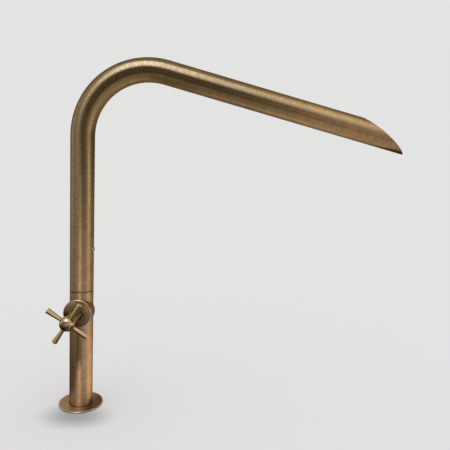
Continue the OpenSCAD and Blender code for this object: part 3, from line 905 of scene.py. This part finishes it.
class GARDENTAP_OT_build_column(TapOperator, Operator):
    """Turn the column and the thin flange that it stands on"""

    bl_idname = "garden_tap.build_column"
    bl_label = "Column and flange"

    def execute(self, context):
        sizes = context.scene.garden_tap.sizes
        self.make_flange(sizes)
        self.make_column(sizes)
        return {"FINISHED"}

    def make_flange(self, sizes):
        radius = half_width("base_flange", 0)
        groove_top = top_of("base_gasket")
        groove_out = half_width("base_gasket", 0)
        groove_in = groove_out - sizes.gasket_groove
        bm = turn_outline([
            (sizes.spigot_radius, 0), (groove_in, 0), (groove_in, groove_top), (groove_out, groove_top),
            (groove_out, 0), (radius, 0), (radius, FLANGE_TOP), (sizes.spigot_radius, FLANGE_TOP)])
        soften_rims(bm, [(radius, FLANGE_TOP)], FLANGE_RIM)
        soften_rims(bm, [(radius, 0)], sizes.rim_soft)
        make_piece(bm, "base_flange", "flange_brass", "body")

    def make_column(self, sizes):
        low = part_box("body_column")[0].z
        high = top_of("body_column")
        bm = turn_outline([(BORE_RADIUS, low), (TUBE_RADIUS, low), (TUBE_RADIUS, high), (BORE_RADIUS, high)])
        soften_rims(bm, [(TUBE_RADIUS, high)], sizes.rim_soft, worn=0)
        soften_rims(bm, [(TUBE_RADIUS, low)], sizes.rim_soft)
        make_piece(bm, "body_column", "column_brass", "body")


class GARDENTAP_OT_build_valve(TapOperator, Operator):
    """Turn the conical cap in front of the valve's collar"""

    bl_idname = "garden_tap.build_valve"
    bl_label = "Valve cap"

    def execute(self, context):
        sizes = context.scene.garden_tap.sizes
        radius = half_width("bonnet_cap", 0)
        back = back_of("bonnet_cap")
        front = front_of("bonnet_cap")
        spigot = radius - SPIGOT_STEP
        rounding = sizes.cap_round
        face = front - sizes.cap_cone
        slope = sizes.cap_cone / (radius - rounding - sizes.cap_hole)
        inner_front = front - sizes.cap_wall
        bm = turn_outline([
            (spigot, back), (radius, back),
            *arc_points((radius - rounding, face - rounding), rounding, 0, QUARTER, CAP_STEPS),
            (sizes.cap_hole, front), (sizes.cap_hole, inner_front),
            (spigot, inner_front - slope * (spigot - sizes.cap_hole))])
        soften_rims(bm, [(radius, back), (sizes.cap_hole, front)], sizes.rim_soft)
        rounded = [
            item for item in bm.faces
            if all(math.hypot(vert.co.x, vert.co.y) > radius - rounding / 2
                   and vert.co.z > face - rounding - WELD for vert in item.verts)]
        mark_worn_and_highlight(bm, rounded, CAP_WEAR_AND_HIGHLIGHT)
        make_piece(bm, "bonnet_cap", "valve_brass", "body", place=VALVE_PLACE)
        return {"FINISHED"}


class GARDENTAP_OT_build_handle(TapOperator, Operator):
    """Turn the handle's neck and ball, its four arms and its index cap"""

    bl_idname = "garden_tap.build_handle"
    bl_label = "Cross handle"

    def execute(self, context):
        sizes = context.scene.garden_tap.sizes
        self.make_hub(sizes)
        for arm in range(4):
            self.make_arm(sizes, arm)
        self.make_index_cap()
        return {"FINISHED"}

    def make_hub(self, sizes):
        back = back_of("handle_hub")
        waist = CROSS_OUT - sizes.waist_back
        drop = sizes.neck_radius - sizes.waist_radius
        curve = (waist - back) ** 2 / (2 * drop)
        sweep = math.asin((waist - back) / curve)
        neck = arc_points(
            (sizes.waist_radius + curve, waist), curve, math.pi + sweep, math.pi, NECK_STEPS)
        ball_start = -math.acos(sizes.waist_radius / BALL_RADIUS)
        ball_end = math.acos(half_width("index_cap", 0) / BALL_RADIUS)
        neck_end = CROSS_OUT + BALL_RADIUS * math.sin(ball_start)
        ball = arc_points((0, CROSS_OUT), BALL_RADIUS, ball_start + BALL_GAP, ball_end, BALL_STEPS)
        hollow = sizes.neck_radius - NECK_WALL
        bore = half_width("handle_screw", 0)
        bm = turn_outline([
            (hollow, back), *neck, (sizes.waist_radius, neck_end - NECK_GAP), *ball,
            (bore, front_of("handle_hub")), (bore, back + HOLLOW_DEPTH), (hollow, back + HOLLOW_DEPTH)])
        soften_rims(bm, [(sizes.neck_radius, back)], sizes.rim_soft)
        make_piece(bm, "handle_hub", "handle_brass", "handle", place=VALVE_PLACE)

    def make_arm(self, sizes, arm):
        tip = half_width("handle_arm_1", 1)
        seat = BALL_RADIUS - ARM_SEAT
        bm = turn_outline([
            (0, seat), (sizes.arm_root, seat), (sizes.arm_root, BALL_RADIUS),
            (tip, sizes.arm_length), (0, sizes.arm_length)], closed=False)
        soften_rims(bm, [(tip, sizes.arm_length)], ARM_RIM)
        turn = math.pi - sizes.arm_turn + arm * QUARTER
        place = (VALVE_PLACE @ Matrix.Translation((0, 0, CROSS_OUT))
                 @ Matrix.Rotation(turn, 4, "Z") @ Matrix.Rotation(QUARTER, 4, "Y"))
        node = f"handle_arm_{arm + 1}"
        make_piece(bm, node, "handle_brass", "handle", place=place)

    def make_index_cap(self):
        radius = half_width("index_cap", 0)
        back = back_of("index_cap")
        front = front_of("index_cap")
        seat = CROSS_OUT + math.sqrt(BALL_RADIUS ** 2 - radius ** 2)
        dome = (radius ** 2 + DOME_RISE ** 2) / (2 * DOME_RISE)
        spread = math.asin(radius / dome)
        crown = arc_points((0, front - dome), dome, QUARTER - spread, QUARTER, DOME_STEPS)
        bm = turn_outline([
            (0, back), (PLUG_RADIUS, back), (PLUG_RADIUS, seat), (radius, seat), *crown[:-1],
            (0, front)], closed=False)
        soften_rims(bm, [(radius, front - DOME_RISE)], INDEX_RIM)
        make_piece(bm, "index_cap", "index_brass", "handle", place=VALVE_PLACE)


class GARDENTAP_OT_build_spout(TapOperator, Operator):
    """Bend the spout's tube and cut its slanted mouth"""

    bl_idname = "garden_tap.build_spout"
    bl_label = "Spout"

    def execute(self, context):
        sizes = context.scene.garden_tap.sizes
        turn = sizes.bend_turn
        self.sizes = sizes
        self.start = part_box("spout_tube")[0].z
        self.bend_centre = Vector((sizes.bend_radius, 0, sizes.bend_height))
        self.run_way = Vector((math.sin(turn), 0, math.cos(turn)))
        self.run_up = Vector((-math.cos(turn), 0, math.sin(turn)))
        self.bend_end = self.bend_centre + sizes.bend_radius * self.run_up
        bm = bmesh.new()
        outer = self.sweep(bm, TUBE_RADIUS)
        inner = self.sweep(bm, BORE_RADIUS)
        for first, second in zip(outer, inner):
            self.join_rings(bm, first, second)
        bmesh.ops.recalc_face_normals(bm, faces=bm.faces)
        self.soften_ends(bm)
        make_piece(bm, "spout_tube", "column_brass", "spout", unwrap=self.path_place)
        return {"FINISHED"}

    def sweep(self, bm, radius):
        """Sweeps a ring along the rise, the bend and the run, up to the cut of the mouth.

        Returns the points at the foot and at the mouth, in order round the tube.
        """
        circle = bmesh.ops.create_circle(
            bm, cap_ends=False, segments=ROUND_STEPS, radius=radius,
            matrix=Matrix.Translation((0, 0, self.start)))
        foot = circle["verts"]
        edges = list({edge for vert in foot for edge in vert.link_edges})
        edges = self.grow(bm, edges, Vector((0, 0, self.sizes.bend_height - self.start)))
        bent = bmesh.ops.spin(
            bm, geom=edges, cent=self.bend_centre, axis=(0, 1, 0), dvec=(0, 0, 0),
            angle=self.sizes.bend_turn, steps=BEND_STEPS, use_merge=False, use_duplicate=False)
        edges = [item for item in bent["geom_last"] if isinstance(item, bmesh.types.BMEdge)]
        edges = self.grow(bm, edges, Vector((0, 0, 0)))
        mouth = list({vert for edge in edges for vert in edge.verts})
        for vert in mouth:
            vert.co = self.reach_cut(vert.co)
        return [sorted(ring, key=lambda vert: self.path_place(vert.co)[1]) for ring in (foot, mouth)]

    def reach_cut(self, point):
        """Where the line through a point along the run meets the cut, which bulges a little."""
        angle = self.sizes.mouth_angle
        bulge = self.sizes.mouth_bulge
        slant = 2 * TUBE_RADIUS / math.sin(angle)
        curve = (slant ** 2 / 4 + bulge ** 2) / (2 * bulge)
        out = self.run_way * math.sin(angle) + self.run_up * math.cos(angle)
        down = self.run_way * math.cos(angle) - self.run_up * math.sin(angle)
        lip = self.bend_end + self.run_way * self.sizes.spout_run - self.run_up * TUBE_RADIUS
        from_centre = point - (lip + out * (bulge - curve) - down * slant / 2)
        from_centre.y = 0
        along = from_centre.dot(self.run_way)
        to_cut = math.sqrt(along ** 2 - from_centre.length_squared + curve ** 2) - along
        return point + self.run_way * to_cut

    def join_rings(self, bm, first, second):
        """Closes the wall between two rings of points that run round the tube in the same order."""
        for index, vert in enumerate(first):
            bm.faces.new((first[index - 1], vert, second[index], second[index - 1]))

    def grow(self, bm, edges, step):
        """Extrudes a ring of edges by one step and returns the new ring."""
        made = bmesh.ops.extrude_edge_only(bm, edges=edges)["geom"]
        verts = [item for item in made if isinstance(item, bmesh.types.BMVert)]
        bmesh.ops.translate(bm, vec=step, verts=verts)
        moved = set(verts)
        return [item for item in made
                if isinstance(item, bmesh.types.BMEdge) and all(vert in moved for vert in item.verts)]

    def soften_ends(self, bm):
        """Rounds both lips of the mouth and both edges of the foot."""
        for width, at_mouth in ((self.sizes.lip_soft, True), (self.sizes.rim_soft, False)):
            rims = [edge for edge in bm.edges if edge.calc_face_angle(0) > RIM_ANGLE
                    and (edge.verts[0].co.x > self.bend_end.x) == at_mouth]
            bevel_rims(bm, rims, width)

    def path_place(self, point):
        """Place of a point on the tube: its length along the tube's path, and its turn."""
        height = self.sizes.bend_height
        radius = self.sizes.bend_radius
        arm = point - self.bend_centre
        bend = math.atan2(arm.z, -arm.x)
        if point.z < height and point.x < radius:
            along, out = point.z, -point.x
        elif bend < self.sizes.bend_turn and point.z >= height:
            along = height + radius * bend
            out = math.hypot(arm.x, arm.z) - radius
        else:
            run = point - self.bend_end
            along = height + radius * self.sizes.bend_turn + run.dot(self.run_way)
            out = run.dot(self.run_up)
        along += RING_REACH * math.hypot(out, point.y)
        return along, math.atan2(point.y, out) / (2 * math.pi)


class GARDENTAP_OT_finish_frame(TapOperator, Operator):
    """Give every piece that stays as the frame made it a finish of its own"""

    bl_idname = "garden_tap.finish_frame"
    bl_label = "Inner pieces"

    def execute(self, context):
        colours = context.scene.garden_tap.colours
        finishes = {slot: plain_finish(name, getattr(colours, colour), *values)
                    for slot, (name, colour, *values) in SLOT_FINISHES.items()}
        own_finishes = {"valve_collar": finish_of("valve_brass")}
        for name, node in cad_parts.items():
            for holder in node.material_slots:
                slot = holder.material.name.split(".")[0] if holder.material else ""
                if slot not in finishes:
                    raise ValueError(f"{name} has no finish for the slot {slot!r}")
                holder.material = own_finishes.get(name, finishes[slot])
        return {"FINISHED"}


BUILD_ORDER = (
    GARDENTAP_OT_build_stage,
    GARDENTAP_OT_finish_frame,
    GARDENTAP_OT_build_column,
    GARDENTAP_OT_build_valve,
    GARDENTAP_OT_build_handle,
    GARDENTAP_OT_build_spout,
)


class GARDENTAP_PT_panel(Panel):
    """Lists what builds the tap, in order"""

    bl_idname = "GARDENTAP_PT_panel"
    bl_label = "Garden tap"
    bl_space_type = "VIEW_3D"
    bl_region_type = "UI"
    bl_category = "Garden tap"

    def draw(self, context):
        for operator in BUILD_ORDER:
            self.layout.operator(operator.bl_idname)


CLASSES = (TapSizes, TapColours, TapStage, TapSettings, *BUILD_ORDER, GARDENTAP_PT_panel)


def register():
    for item in CLASSES:
        bpy.utils.register_class(item)
    bpy.types.Scene.garden_tap = PointerProperty(type=TapSettings)


def unregister():
    del bpy.types.Scene.garden_tap
    for item in reversed(CLASSES):
        bpy.utils.unregister_class(item)


def main():
    register()
    for operator in BUILD_ORDER:
        group, name = operator.bl_idname.split(".")
        getattr(getattr(bpy.ops, group), name)()


if __name__ == "__main__":
    main()
